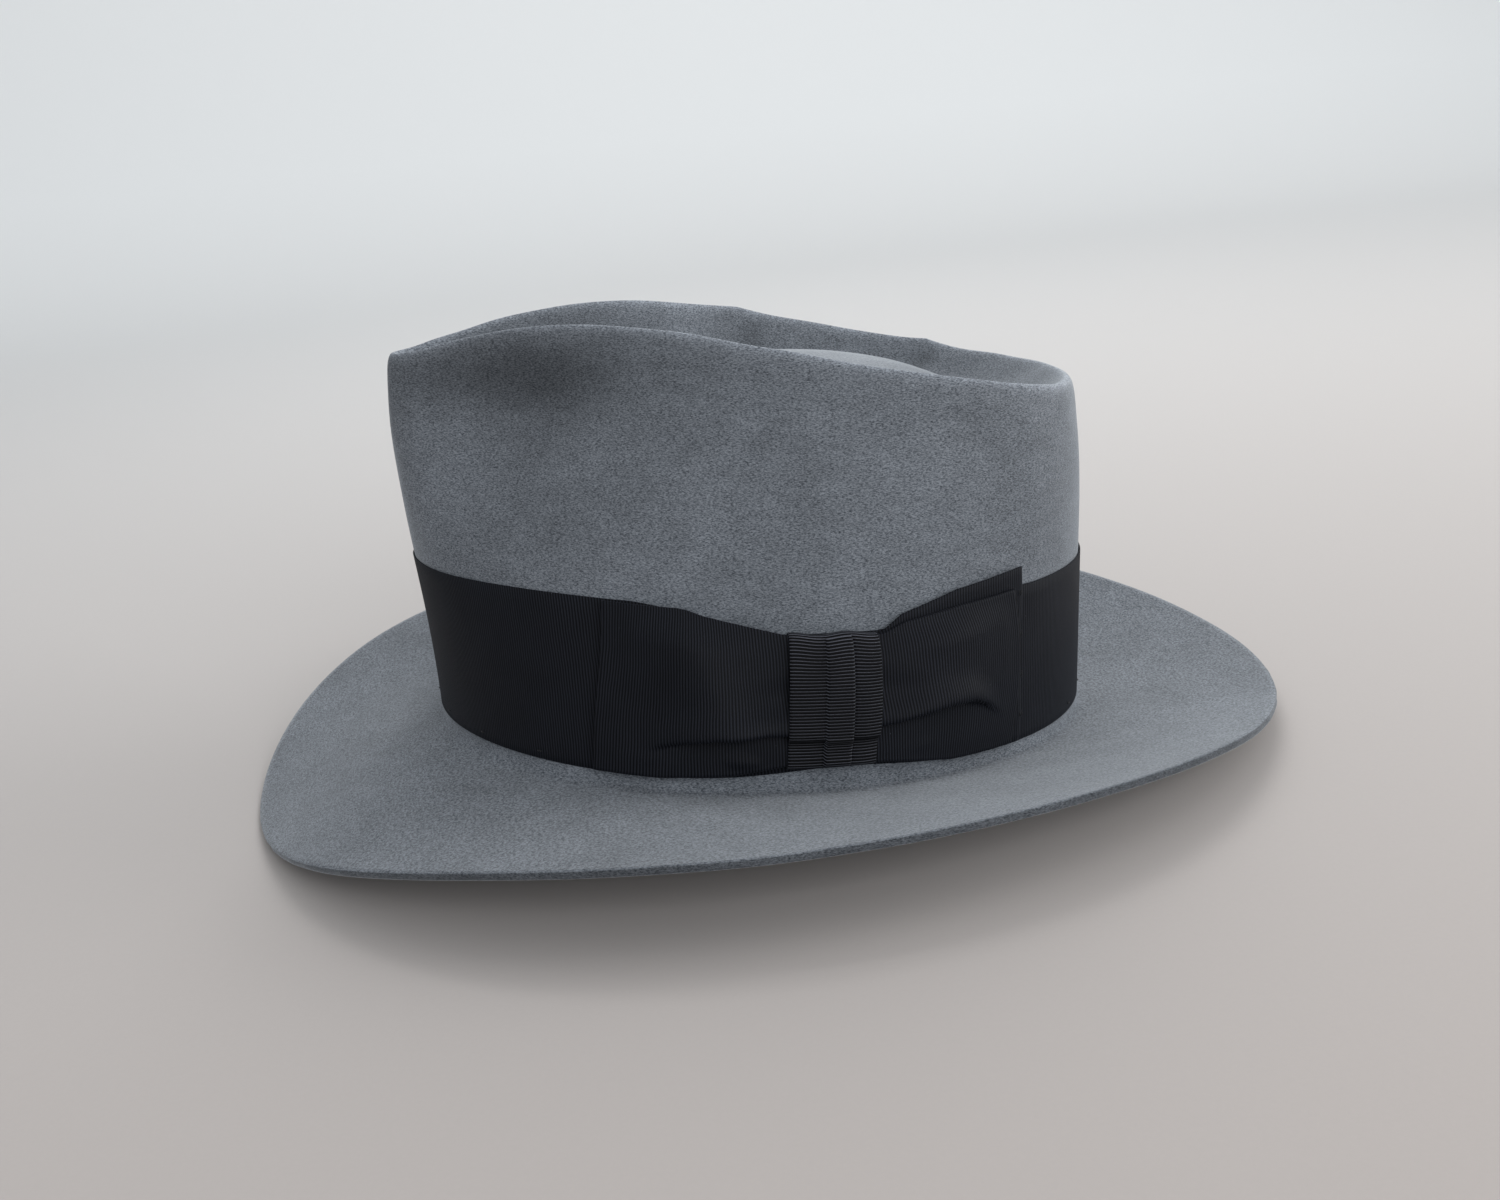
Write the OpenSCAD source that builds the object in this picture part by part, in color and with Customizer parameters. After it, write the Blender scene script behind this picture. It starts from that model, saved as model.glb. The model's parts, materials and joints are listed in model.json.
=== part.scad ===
// Fedora hat: felt crown with a teardrop dent, snap brim, wide ribbon band with a flat side bow,
// leather sweatband and satin lining. Millimetres, +Z up. The origin is the middle of the head
// opening, level with the brim break. The front of the hat points to -Y, the bow side to +X.

/* [Crown] */
// Half the width of the crown where it meets the brim, outside the felt
base_rx = 88; // [82:0.5:94]
// Half the length of the crown where it meets the brim, outside the felt
base_ry = 103; // [96:0.5:110]
// Thickness of the felt
felt_t = 2; // [1.6:0.1:2.2]
// Half the width of the crown ridge, midway along the hat
ridge_rx = 55.5; // [50:0.5:60]
// How much the ridge narrows to the front and widens to the back
ridge_taper = 0.79; // [0.6:0.01:0.85]
// Half the length of the crown ridge
ridge_ry = 105.8; // [100:0.5:109]
// How far the ridge is shifted to the front
ridge_shift = 7; // [4:0.5:10]
// Crown height at the front pinch
crown_front = 115.5; // [110:0.5:117]
// Crown height 30 degrees round from the front
crown_brow = 118.5; // [114:0.5:122]
// Crown height 60 degrees round from the front, its highest point
crown_peak = 126.5; // [121:0.5:129]
// Crown height at each side
crown_side = 122; // [117:0.5:124]
// Crown height 60 degrees round from the back
crown_shoulder = 112.7; // [108:0.1:115]
// Crown height 30 degrees round from the back
crown_nape = 106.7; // [103:0.1:110]
// Crown height at the back
crown_back = 106.3; // [102:0.1:108]
// How much higher the bow side's back quarter is than the middle, and the other side's lower
crown_tilt = 0.9; // [0:0.1:2]
// Height of the middle of the dent
island_z = 108.5; // [107:0.5:112]
// Depth of the channel round the middle of the dent
channel_depth = 16; // [12:0.5:17]
// Depth of the finger pinch on each side of the front
pinch_depth = 12; // [0:0.5:12]
// How far the crown's edge is rounded in, most at the back
shoulder_in = 3.3; // [0:0.1:4]
// How far the foot of the crown sits in from its oval at the front and at the back
foot_in = [3, 0.8]; // [0:0.1:4]

/* [Brim] */
// Width of the brim, measured down its slope
brim_w = 60.5; // [52:0.5:66]
// Height of the brim edge at the front
brim_front = -25; // [-28:0.5:-18]
// Height of the brim edge at the back
brim_back = 10; // [6:0.5:14]
// Heights of the left edge, 30, 60 and 90 degrees round from the front
brim_left_front = [-17.5, 0, 9.5]; // [-20:0.5:14]
// Heights of the left edge, 60 and 30 degrees round from the back
brim_left_back = [14.5, 11.5]; // [6:0.5:18]
// Heights of the right edge, 30, 60 and 90 degrees round from the front
brim_right_front = [-8, 6, 10.5]; // [-20:0.5:14]
// Heights of the right edge, 60 and 30 degrees round from the back
brim_right_back = [16.5, 14.5]; // [6:0.5:18]

/* [Ribbon] */
// Height of the ribbon's upper edge above the break
band_top = 50.5; // [46:0.5:52]
// Thickness of the grosgrain
ribbon_t = 0.5; // [0.4:0.05:0.55]
// How far the knot pulls the ribbon's upper edge down
knot_dip = 7.5; // [4:0.5:8]
// Where the bow's knot is centred, degrees round from the left side
knot_at = 5.5; // [3:0.5:8]
// Width of the knot
knot_w = 21.8; // [18:0.1:26]
// Length of the front wing, knot centre to the fold's lower corner
front_wing_l = 62.9; // [50:0.1:64]
// Length of the back wing, knot centre to the fold's lower corner
rear_wing_l = 50.7; // [44:0.1:52]
// Length of the flat backing ribbon behind the back wing, from the knot centre
backing_l = 56.8; // [56:0.1:60]

/* [Inside] */
// Height of the leather sweatband
sweat_h = 54; // [40:0.5:58]
// Thickness of the sweatband leather
leather_t = 1; // [0.8:0.05:1.1]
// Thickness of the satin lining
satin_t = 0.3; // [0.2:0.05:0.35]
// Diameter of the sewing thread
thread_d = 0.4; // [0.3:0.05:0.45]

/* [Hidden] */

columns = 76;
step_a = 360 / columns;
// Heights every 30 degrees, starting at the front and passing the left side
crown_heights = [crown_front, crown_brow, crown_peak, crown_side, crown_shoulder + crown_tilt,
    crown_nape + crown_tilt, crown_back, crown_nape - crown_tilt, crown_shoulder - crown_tilt,
    crown_side, crown_peak, crown_brow];
brim_heights = [brim_front, brim_left_front[0], brim_left_front[1], brim_left_front[2],
    brim_left_back[0], brim_left_back[1], brim_back, brim_right_back[1], brim_right_back[0],
    brim_right_front[2], brim_right_front[1], brim_right_front[0]];
// Control rows of the felt: shares of the brim's width, heights on the wall, shares of the
// crown's height, and shares of the ridge's outline
brim_rows = [1, 0.78, 0.52, 0.28, 0.1];
low_rows = [0, 4, 20, 36, 52, 68];
high_rows = [0.76, 0.9, 1];
top_rows = [0.9, 0.78, 0.66, 0.5, 0.34, 0.18, 0];
// Drop below the middle of the dent, and how far each row follows the ridge's height
top_drops = [0.62, 1, 0.55, 0.16, 0.05, 0.01, 0];
top_follows = [0.85, 0.5, 0.3, 0.1, 0, 0, 0];
// How much shallower each row is at the back
top_eases = [0.2, 0.05, 0, 0, 0, 0, 0];
brim_curl = 1.25;
dent_y = -5;
wall_lean = 1.45;
break_row = len(brim_rows);
ridge_row = break_row + len(low_rows) + len(high_rows) - 1;
last_row = ridge_row + len(top_rows);

// Angle from one direction to another, within half a turn
function turn(a, b) = let (d = (a - b + 540) % 360) (d < 0 ? d + 360 : d) - 180;
function bump(d, w) = exp(-d * d / (w * w));
function ramp(x, a, b) = min(1, max(0, (x - a) / (b - a)));
function smooth(x, a, b) = let (t = ramp(x, a, b)) t * t * (3 - 2 * t);

// Smooth closed curve through evenly spaced values, the first at the front
function share(d, n) = let (s = sin(d / 2))
    abs(s) < 0.000001 ? 1 : sin(n * d / 2) * cos(d / 2) / (n * s);
function around(v, a) = let (n = len(v))
    v * [for (k = [0:n - 1]) share(a - 270 - 360 * k / n, n)];

// Outline of the ridge and of the wall at a share of the crown's height
function ridge_x(a) = ridge_rx * cos(a) * (1 + ridge_taper * sin(a));
function ridge_y(a) = ridge_ry * sin(a) - ridge_shift;
function out_xy(a) = let (n = [cos(a) / base_rx, sin(a) / base_ry]) n / norm(n);
// 0 over most of the hat and 1 at the back
function at_back(a) = smooth(sin(a), 0.45, 0.95);
function foot(a) = (sin(a) < 0 ? foot_in[0] : -foot_in[1]) * sin(a) * sin(a);
function pinch(a, t) = pinch_depth * cos(a) / sqrt(cos(a) * cos(a) + 0.05)
    * bump(t - 0.8, t > 0.8 ? 0.12 : 0.22) * (bump(turn(a, 315), 22) + bump(turn(a, 225), 22));
function swell(a, t) = (sin(a) > 0 ? -0.6 * sin(180 * t) : -3.5 * sin(180 * pow(t, 1.8)))
    * sin(a) * sin(a);
function rounded(a, t) = shoulder_in * smooth(t, 0.8, 1)
    * (0.8 * smooth(sin(a), -0.75, 0) + 0.2 * at_back(a) + 0.5 * bump(turn(a, 270), 20));
function wall_xy(a, t) = let (k = pow(t, wall_lean))
    [base_rx * cos(a) * (1 - k) + ridge_x(a) * k - pinch(a, t),
     base_ry * sin(a) * (1 - k) + ridge_y(a) * k + swell(a, t) + foot(a) * (1 - t)]
    - rounded(a, t) * out_xy(a);

// One column of control points, from the brim's edge to the middle of the crown
function brim_point(a, e, w, f) =
    [base_rx * cos(a) + out_xy(a)[0] * w * f,
     base_ry * sin(a) + foot(a) * (1 - f) + out_xy(a)[1] * w * f, e * pow(f, brim_curl)];
function wall_point(a, h, z) = let (p = wall_xy(a, max(z, 0) / h)) [p[0], p[1], z];
function top_point(a, h, i) = let (f = top_rows[i])
    [ridge_x(a) * f, dent_y + (ridge_y(a) - dent_y) * f, island_z
     + (h - island_z) * top_follows[i] - (top_drops[i] - top_eases[i] * at_back(a)) * channel_depth];
function column(a) = let (h = around(crown_heights, a), e = around(brim_heights, a),
        w = sqrt(brim_w * brim_w - e * e)) concat(
    [for (f = brim_rows) brim_point(a, e, w, f)],
    [for (z = low_rows) wall_point(a, h, z)],
    [for (t = high_rows) wall_point(a, h, t * h)],
    [for (i = [0:len(top_rows) - 1]) top_point(a, h, i)]);

// Smooth curve along a column of control points
function ctrl(c, i) = i < 0 ? 2 * c[0] - c[1]
    : i >= len(c) ? 2 * c[len(c) - 1] - c[len(c) - 2] : c[i];
function along(c, v) = let (i = min(max(floor(v), 0), len(c) - 2), f = v - i)
    (pow(1 - f, 3) * ctrl(c, i - 1) + (3 * f * f * f - 6 * f * f + 4) * ctrl(c, i)
    + (-3 * f * f * f + 3 * f * f + 3 * f + 1) * ctrl(c, i + 1) + f * f * f * ctrl(c, i + 2)) / 6;
function unit(v) = v / norm(v);

cols = [for (i = [0:columns - 1]) column(i * step_a)];
cols_next = [for (i = [0:columns - 1]) column(i * step_a + 0.5)];
cols_last = [for (i = [0:columns - 1]) column(i * step_a - 0.5)];
function outward(i, v) = v >= last_row ? [0, 0, 1]
    : unit(cross(along(cols_next[i], v) - along(cols_last[i], v),
        along(cols[i], v + 0.05) - along(cols[i], v - 0.05)));
function skin(v, off) = [for (i = [0:columns - 1]) along(cols[i], v) + off * outward(i, v)];

// Row number of a height on the lower wall, and a point standing off that wall
function row_of(z) = z > 20 ? break_row + 2 + (z - 20) / 16 : break_row + 1 + (z - 6) / 14;
function on_wall(a, z, off) = let (p = along(column(a), row_of(max(z, 6))), n = out_xy(a))
    [p[0] + n[0] * off, p[1] + n[1] * off, z];
function ring(z, off) = [for (i = [0:columns - 1]) on_wall(i * step_a, z, off)];

// Triangles between two neighbouring loops of points
function join(p, q, m) = [for (i = [0:m - 1]) let (j = (i + 1) % m)
    each [[p + i, p + j, q + j], [p + i, q + j, q + i]]];
function flatten(rows) = [for (r = rows) each r];

// A closed ring whose section is the polygon through the rows
module closed_ring(rows) {
    m = len(rows[0]);
    n = len(rows);
    polyhedron(flatten(rows), [for (r = [0:n - 1]) each join(r * m, ((r + 1) % n) * m, m)]);
}

// A closed skin between two poles: the rows run from the first pole to the last
module closed_dome(first, rows, last) {
    m = len(rows[0]);
    n = len(rows);
    polyhedron(concat([first], flatten(rows), [last]), concat(
        [for (i = [0:m - 1]) [0, 1 + i, 1 + (i + 1) % m]],
        [for (r = [0:n - 2]) each join(1 + (r + 1) * m, 1 + r * m, m)],
        [for (i = [0:m - 1]) let (b = 1 + (n - 1) * m) [b + (i + 1) % m, b + i, 1 + n * m]]));
}

// A bar through loops of paired points; the first half of a loop faces the second half
module open_bar(loops) {
    m = len(loops[0]);
    n = len(loops);
    h = m / 2;
    b = (n - 1) * m;
    polyhedron(flatten(loops), concat(
        [for (r = [0:n - 2]) each join(r * m, (r + 1) * m, m)],
        [for (j = [0:h - 2]) each [[m - 1 - j, m - 2 - j, j + 1], [m - 1 - j, j + 1, j]]],
        [for (j = [0:h - 2]) each [[b + j, b + j + 1, b + m - 2 - j],
            [b + j, b + m - 2 - j, b + m - 1 - j]]]));
}

// One stitch: a short round thread between two points
module stitch(p, q) {
    d = q - p;
    l = norm(d);
    translate(p)
        rotate([0, acos(d[2] / l), atan2(d[1], d[0])])
            cylinder(h = l, d = thread_d, $fn = 16);
}

// ---- felt ----
felt_rows = [0, 0.6, 1.5, 2.5, 3.3, 3.9, 4.4, 4.8, 5.15, 5.5, 5.8, 6.3, 7, 8, 8.9, 9.8, 10.6,
    11.3, 11.8, 12.3, 12.7, 13.1, 13.5, 13.9, 14.4, 14.9, 15.5, 16.2, 17, 18, 19];
function felt_skin(off) = [for (v = felt_rows) skin(v, off)];
function reversed(v) = [for (i = [len(v) - 1:-1:0]) v[i]];

module felt_body() {
    apex = along(cols[0], last_row);
    color("slategray")
        closed_dome(apex, concat(reversed(felt_skin(0)), felt_skin(-felt_t)),
            apex - [0, 0, felt_t]);
}

// ---- hatband ----
band_gap = 0.15;
band_low_row = 5.8;
// The knot gathers the ribbon, so both its edges draw in there
function dip(a) = let (d = turn(a, knot_at)) pow(ramp(d, -30, -8), 1.3) * smooth(-d, -19, -7);
function band_row(a, f) = let (low = band_low_row + 0.27 * bump(turn(a, knot_at), 15))
    low + (row_of(band_top - knot_dip * dip(a)) - low) * f;
function band_skin(off) = [for (f = [0, 0.16, 0.39, 0.71, 1]) [for (i = [0:columns - 1])
    let (v = band_row(i * step_a, f)) along(cols[i], v) + off * outward(i, v)]];

module hatband_ribbon() {
    color("#26272c")
        closed_ring(concat(band_skin(band_gap), reversed(band_skin(band_gap + ribbon_t))));
}

module hatband_tack_stitches() {
    off = band_gap + ribbon_t + thread_d / 2 + 0.15;
    tack_z = 6.5;
    color("#1c1c20")
        for (a = [60:15:325])
            stitch(on_wall(a, tack_z, off), on_wall(a + 1, tack_z, off));
}

// ---- bow ----
// Degrees of turn for one millimetre along the ribbon
deg_mm = 0.61;
knot_top = band_top + 0.9 - knot_dip;
knot_low = 8;
wrap_t = 0.4;
wrap_off = 1.2;
back_off = 2;
loop_off = 2.9;
function bow_point(s, z, off) = on_wall(knot_at + s * deg_mm, z, off);

// A folded ribbon through stations [along, off, lower edge, upper edge, puff]. Its end leans by
// the first number of lean and bows out by the second.
function path_side(path, i) = let (a = path[max(i - 1, 0)], b = path[min(i + 1, len(path) - 1)],
        d = [b[0] - a[0], b[1] - a[1]]) [-d[1], d[0]] / norm(d);
function puffed(t) = sin(180 * pow(t, 1.5));
function fold_row(p, n, dir, lean, t) =
    bow_point(dir * (p[0] + (lean[0] * t + lean[1] * sin(180 * t)) * ramp(p[0], 12, 50) + n[0]),
        p[2] + (p[3] - p[2]) * t, p[1] + p[4] * puffed(t) + n[1]);
module folded_wing(path, dir, lean) {
    steps = 7;
    loops = [for (i = [0:len(path) - 1]) let (n = path_side(path, i) * ribbon_t / 2) concat(
        [for (j = [0:steps]) fold_row(path[i], n, dir, lean, j / steps)],
        [for (j = [0:steps]) fold_row(path[i], -n, dir, lean, 1 - j / steps)])];
    if (dir > 0) open_bar(reversed(loops));
    else open_bar(loops);
}

// Heights of the wings' edges at distances from the knot's centre; within the knot they stay flat
gathered = knot_top - 1;
front_low = [[12, 9.2], [27, 6.4], [45, 5.1], [60, 5.4]];
front_top = [[12, gathered], [31, 48.6], [36, 50.4], [61, 51.2]];
rear_low = [[12, 9], [30, 5.9], [45, 6], [54, 6.6]];
rear_top = [[12, gathered], [18, 46], [34, 49], [51, 50.6]];
fold_r = 0.9;
function wing_path(l, puff, low, top) = concat(
    [for (f = [0.05:0.085:0.91]) let (s = l * f,
            g = ramp(f, 0.16, 0.45) * (1 - 0.6 * ramp(f, 0.5, 1)))
        [s, loop_off + 1.1 + 0.6 * puff * g, lookup(s, low), lookup(s, top), puff * g]],
    [for (b = [60, 0, -60]) [l + fold_r * (cos(b) - 1), loop_off + fold_r * (1 + sin(b)),
        lookup(l, low), lookup(l, top), 0]],
    [for (f = [0.9:-0.085:0.04]) let (s = l * f)
        [s, loop_off, lookup(s, low), lookup(s, top), 0]]);

module bow_front_wing() {
    color("#232429")
        folded_wing(wing_path(front_wing_l, 2.2, front_low, front_top), -1, [-6.9, 0]);
}

module bow_rear_wing() {
    color("#25262b")
        folded_wing(wing_path(rear_wing_l, 2, rear_low, rear_top), 1, [1.7, 2.8]);
}

// Flat ribbon behind the wings, gathered at the knot like them
backing_start = -34;
backing_top = [[backing_start, 48], [-26, 45.6], [-12, gathered], [12, gathered], [18, 47.6],
    [34, 52.8], [56, 56.4]];
module bow_backing() {
    function low(s) = 5.4 + 3.4 * ramp(-abs(s), -28, -12) - 0.4 * smooth(s, 30, 56);
    function layer(s, t, side) = bow_point(s, low(s) + (lookup(s, backing_top) - low(s)) * t,
        back_off + side * ribbon_t / 2);
    color("#2a2b30")
        open_bar([for (i = [0:24]) let (s = backing_start + (backing_l - backing_start) * i / 24)
            concat([for (j = [0:6]) layer(s, j / 6, 1)],
                [for (j = [0:6]) layer(s, 1 - j / 6, -1)])]);
}

// Pleated wrap: a closed loop round the middle of the wings and the backing
function pleat(s) = let (u = s / (knot_w / 2))
    abs(u + 0.05) < 0.28 ? 0.9 : 0.35 * cos(90 * min(1, abs(u)));
function wrap_path(s) = concat(
    [[knot_low + 2.6, 5.6], [14, 6], [18.5, 7.1 + pleat(s)], [28, 7.4 + pleat(s)],
        [36, 7 + pleat(s)], [knot_top - 2.5, 6.2 + 0.5 * pleat(s)]],
    [[knot_top - 0.2, 4.9], [knot_top + 0.1, 3], [knot_top - 0.3, wrap_off + 0.1]],
    [for (z = [knot_top - 4, 34, 25, 15, knot_low + 4]) [z, wrap_off]],
    [[knot_low + 0.4, wrap_off + 0.1], [knot_low, 2.9], [knot_low + 0.4, 4.8]]);
function wrap_side(path, i) = let (n = len(path), d = path[(i + 1) % n]
    - path[(i + n - 1) % n]) [-d[1], d[0]] / norm(d) * wrap_t / 2;

module bow_knot() {
    edges = [-1, -0.78, -0.52, -0.34, -0.3, -0.05, 0.2, 0.24, 0.5, 0.78, 1];
    wide = [for (u = edges) u * knot_w / 2];
    loops = [for (i = [0:len(wrap_path(0)) - 1]) concat(
        [for (s = wide) let (w = wrap_path(s), n = wrap_side(w, i))
            bow_point(s, w[i][0] + n[0], w[i][1] + n[1])],
        [for (s = reversed(wide)) let (w = wrap_path(s), n = wrap_side(w, i))
            bow_point(s, w[i][0] - n[0], w[i][1] - n[1])])];
    color("#2c2d32")
        closed_ring(reversed(loops));
}

module bow_tack_stitches() {
    off = back_off + ribbon_t / 2 + thread_d / 2 + 0.1;
    color("#1c1c20")
        for (s = [backing_l - 0.8, backing_l - 1.6])
            for (z = [12:12:48])
                stitch(bow_point(s, z, off), bow_point(s, z + 2, off));
}

// ---- sweatband ----
sweat_low = 0.5;
sweat_off = -3.7;
face_off = sweat_off - leather_t;
joint_at = 90;
joint_gap = 0.5;
sweat_columns = 72;

module sweatband() {
    rows = [sweat_low, 6, 16, 28, 42, sweat_h];
    span = 360 - 2 * joint_gap;
    color("#4b3423")
        open_bar([for (i = [0:sweat_columns]) let (a = joint_at + joint_gap
                + span * i / sweat_columns) concat(
            [for (z = rows) on_wall(a, z, sweat_off)],
            [for (z = reversed(rows)) on_wall(a, z, face_off)])]);
}

// Reed and the tape folded round it, between the felt and the leather
reed_off = -2.65;
reed_t = 0.5;
reed_low = -0.3;
reed_h = 3;
tape_t = 0.25;
tape_gap = 0.15;
tape_top = 4.6;

module sweatband_reed() {
    back = reed_off - reed_t;
    color("#e8e4da")
        closed_ring([ring(reed_low, back), ring(reed_low + reed_h, back),
            ring(reed_low + reed_h, reed_off), ring(reed_low, reed_off)]);
}

module sweatband_reed_tape() {
    near = reed_off + tape_gap;
    far = reed_off - reed_t - tape_gap;
    low = reed_low - tape_gap;
    color("#1e1e22")
        closed_ring([ring(low - tape_t, far - tape_t), ring(tape_top, far - tape_t),
            ring(tape_top, far), ring(low, far), ring(low, near), ring(tape_top, near),
            ring(tape_top, near + tape_t), ring(low - tape_t, near + tape_t)]);
}

// Zigzag row: every other stitch climbs
module sweatband_topstitch() {
    stitch_z = 3.2;
    off = face_off - thread_d / 2 - 0.15;
    color("#c9b79b")
        for (a = [0:5:355])
            stitch(on_wall(a, stitch_z, off),
                on_wall(a + 2.2, a % 10 == 0 ? stitch_z + 1.6 : stitch_z, off));
}

// Leather tape behind the joint
module sweatband_joint_tape() {
    rows = [13, 18, 30, 42, 52];
    near = sweat_off + 0.2;
    color("#3a2a1e")
        open_bar([for (a = [joint_at - 4:2:joint_at + 4]) concat(
            [for (z = rows) on_wall(a, z, near + 0.35)],
            [for (z = reversed(rows)) on_wall(a, z, near)])]);
}

module sweatband_joint_stitches() {
    off = face_off - thread_d / 2 - 0.1;
    color("#c9b79b")
        for (side = [-1, 1])
            for (z = [14:4:50])
                stitch(on_wall(joint_at + side * 1.6, z, off),
                    on_wall(joint_at + side * 1.6, z + 2.4, off));
}

// Small flat bow inside, at the foot of the joint
module sweatband_bow_ribbon() {
    t = 0.35;
    function arm(f) = 2.2 + 2.2 * sin(90 * f);
    function at(s, z, off) = on_wall(joint_at + s * 0.56, 8.5 + z, face_off - 0.6 - off);
    shape = [for (b = [0:30:330]) [6.5 + 6.5 * cos(b), 0.9 + 0.8 * sin(b)]];
    color("#1e1e22")
        for (side = [-1, 1]) {
            loops = [for (i = [0:len(shape) - 1]) let (p = shape[i], b = 30 * i,
                    w = arm(p[0] / 13)) [
                at(side * (p[0] + 1.5), -w, p[1]), at(side * (p[0] + 1.5), w, p[1]),
                at(side * (p[0] + 1.5 - t * cos(b)), w, p[1] - t * sin(b)),
                at(side * (p[0] + 1.5 - t * cos(b)), -w, p[1] - t * sin(b))]];
            if (side > 0) closed_ring(reversed(loops));
            else closed_ring(loops);
        }
}

// ---- lining ----
side_off = -2.35;
satin_rows = [6.3, 7, 8, 8.9, 9.8, 10.6, 11.2];
seam_row = 11.2;

module lining_side() {
    color("#7b8794")
        closed_ring(concat(
            [for (v = satin_rows) skin(v, side_off - satin_t)],
            [for (v = reversed(satin_rows)) skin(v, side_off)]));
}

// The tip spans the crown under the dent
tip_rows = [0.82, 0.64, 0.46, 0.28, 0.12];
tip_off = side_off - satin_t - 0.45;
tip_middle = [0, dent_y, island_z - 10];
tip_sag = 4;
function tip_ring(f, down) = [for (p = skin(seam_row, tip_off))
    tip_middle + (p - tip_middle) * f - [0, 0, tip_sag * sin(180 * f) + down]];

module lining_tip() {
    color("#73808e")
        closed_dome(tip_middle, concat(
            [for (f = reversed(concat([1], tip_rows))) tip_ring(f, 0)],
            [for (f = concat([1], tip_rows)) tip_ring(f, satin_t)]),
            tip_middle - [0, 0, satin_t]);
}

module lining_piping() {
    r = 0.5;
    color("#5d6976")
        closed_ring([for (b = [0:60:300]) [for (p = skin(seam_row, tip_off - 0.9))
            p + [0, 0, r * sin(b) - 1.4] + r * cos(b) * unit([p[0], p[1], 0])]]);
}

module lining_tack_stitches() {
    off = side_off - satin_t - thread_d / 2 - 0.27;
    color("#5d6976")
        for (a = [0:15:345])
            stitch(on_wall(a, 11, off), on_wall(a + 1.6, 11, off));
}

// Blank tag standing between the lining and the leather
module size_tag() {
    rows = [16, 22, 28];
    front = side_off - satin_t - 0.45;
    tag_t = 0.2;
    color("#efeee9")
        open_bar([for (a = [118:3:136]) concat(
            [for (z = rows) on_wall(a, z, front)],
            [for (z = reversed(rows)) on_wall(a, z, front - tag_t)])]);
}

felt_body();
hatband_ribbon();
hatband_tack_stitches();
bow_backing();
bow_front_wing();
bow_rear_wing();
bow_knot();
bow_tack_stitches();
sweatband();
sweatband_reed();
sweatband_reed_tape();
sweatband_topstitch();
sweatband_joint_tape();
sweatband_joint_stitches();
sweatband_bow_ribbon();
lining_side();
lining_tip();
lining_piping();
lining_tack_stitches();
size_tag();
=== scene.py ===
"""Fedora hat: the looks. The soft pieces of the CAD model are rebuilt here in fine meshes on the
same surfaces, in the same frame: origin in the middle of the head opening, +Z up, front to -Y,
bow side to +X."""

import json
import math

import bpy
import numpy as np
from mathutils import Matrix, Vector


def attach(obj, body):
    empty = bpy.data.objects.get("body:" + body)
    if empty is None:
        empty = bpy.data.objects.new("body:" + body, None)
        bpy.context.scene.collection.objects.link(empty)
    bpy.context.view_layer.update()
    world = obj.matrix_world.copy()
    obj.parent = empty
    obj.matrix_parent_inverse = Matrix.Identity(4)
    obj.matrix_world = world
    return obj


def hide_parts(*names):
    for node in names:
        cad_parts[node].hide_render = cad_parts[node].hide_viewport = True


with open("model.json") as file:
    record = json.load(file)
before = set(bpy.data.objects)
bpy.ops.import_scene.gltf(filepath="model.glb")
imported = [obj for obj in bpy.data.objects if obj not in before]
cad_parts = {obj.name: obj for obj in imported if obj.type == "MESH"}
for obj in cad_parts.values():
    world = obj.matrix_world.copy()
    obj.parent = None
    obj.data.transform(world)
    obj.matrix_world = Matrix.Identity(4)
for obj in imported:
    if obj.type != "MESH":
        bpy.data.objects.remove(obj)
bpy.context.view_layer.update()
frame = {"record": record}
BODY = next(iter(frame["record"]["behaviour"]["bodies"]))
MM = 0.001

# ---------------------------------------------------------------- camera
# Where the viewer stands, in millimetres from the head opening, and how the view is turned
EYE = (524.6, -76.8, 176.8)
VIEW_YAW = -8.06
VIEW_DIP = 15.40
VIEW_ROLL = -0.11
VIEW_WIDTH_DEG = 47.08


def make_camera():
    data = bpy.data.cameras.new("camera")
    data.sensor_width = 36
    data.lens = 18 / math.tan(math.radians(VIEW_WIDTH_DEG / 2))
    data.clip_start, data.clip_end = 0.02, 30
    cam = bpy.data.objects.new("camera", data)
    bpy.context.scene.collection.objects.link(cam)
    yaw, dip, roll = (math.radians(x) for x in (VIEW_YAW, VIEW_DIP, VIEW_ROLL))
    ahead = Vector((-math.cos(yaw), -math.sin(yaw), 0))
    right = Vector((-math.sin(yaw), math.cos(yaw), 0))
    look = ahead * math.cos(dip) - Vector((0, 0, math.sin(dip)))
    up = right.cross(look)
    side = right * math.cos(roll) + up * math.sin(roll)
    top = up * math.cos(roll) - right * math.sin(roll)
    turn_to = Matrix((side, top, -look)).transposed().to_4x4()
    cam.matrix_world = Matrix.Translation(Vector(EYE) * MM) @ turn_to
    bpy.context.scene.camera = cam


make_camera()

# ---------------------------------------------------------------- the hat's surface
BASE_RX, BASE_RY = 88.0, 103.0
FELT_T = 2.0
RIDGE_RX, RIDGE_TAPER, RIDGE_RY, RIDGE_SHIFT = 55.5, 0.79, 105.8, 7.0
# Crown and brim-edge heights every 30 degrees, from the front past the left side
CROWN = (115.5, 118.5, 126.5, 122, 113.6, 107.6, 106.3, 105.8, 111.8, 122, 126.5, 118.5)
BRIM = (-25, -17.5, 0, 9.5, 14.5, 11.5, 10, 14.5, 16.5, 10.5, 6, -8)
ISLAND_Z, CHANNEL, DENT_Y, PINCH = 108.5, 16.0, -5.0, 12.0
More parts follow.
